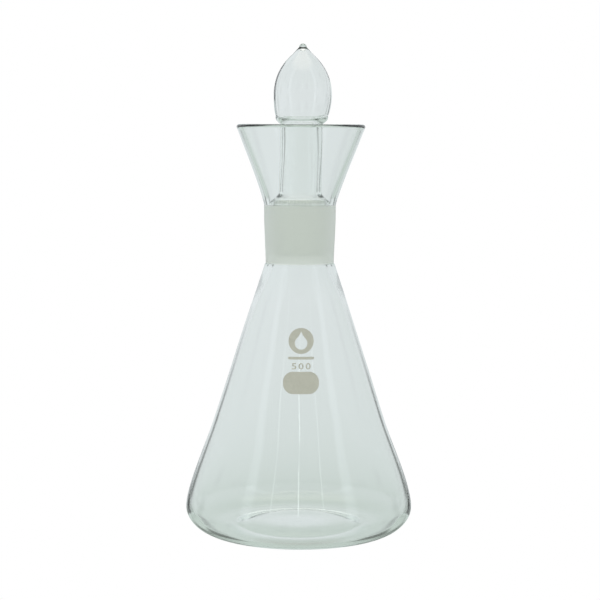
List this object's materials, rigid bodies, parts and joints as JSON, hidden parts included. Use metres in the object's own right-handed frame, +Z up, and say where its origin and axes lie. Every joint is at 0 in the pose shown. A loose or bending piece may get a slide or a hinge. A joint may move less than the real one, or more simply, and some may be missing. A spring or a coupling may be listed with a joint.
{
  "type": "iodine flask with ground stopper",
  "caption": "Conical glass flask with a ground neck socket, a flared water-seal collar and a lift-out hollow stopper with a flame-shaped bulb.",
  "frame": {"origin": "on the flask's axis, at the height of the ring that it stands on", "axes": "+Z up along the axis of the flask and stopper, -Y towards the front, where the printing is, +X to the right"},
  "size_m": [0.1076, 0.1076, 0.2322],
  "materials": {
    "clear_glass": "polished clear borosilicate glass with a faint green-grey tint",
    "ground_glass": "matt ground surface of a taper joint, white and finely grained",
    "enamel": "beige-grey fired enamel, satin"
  },
  "bodies": {
    "flask": {"flask_body": "clear_glass", "neck_socket": "ground_glass", "funnel_collar": "clear_glass", "badge_disc": "enamel", "name_bar": "enamel", "digit_5": "enamel", "digit_0_a": "enamel", "digit_0_b": "enamel", "writing_patch": "enamel"},
    "stopper": {"stopper_plug": "ground_glass", "stopper_stem": "clear_glass", "bulb_seal": "clear_glass", "bulb_head": "clear_glass"}
  },
  "joints": [
    {"name": "stopper_lift", "type": "slide", "parent": "flask", "child": "stopper", "axis": [0, 0, 1], "range_m": [0, 0.07]}
  ]
}
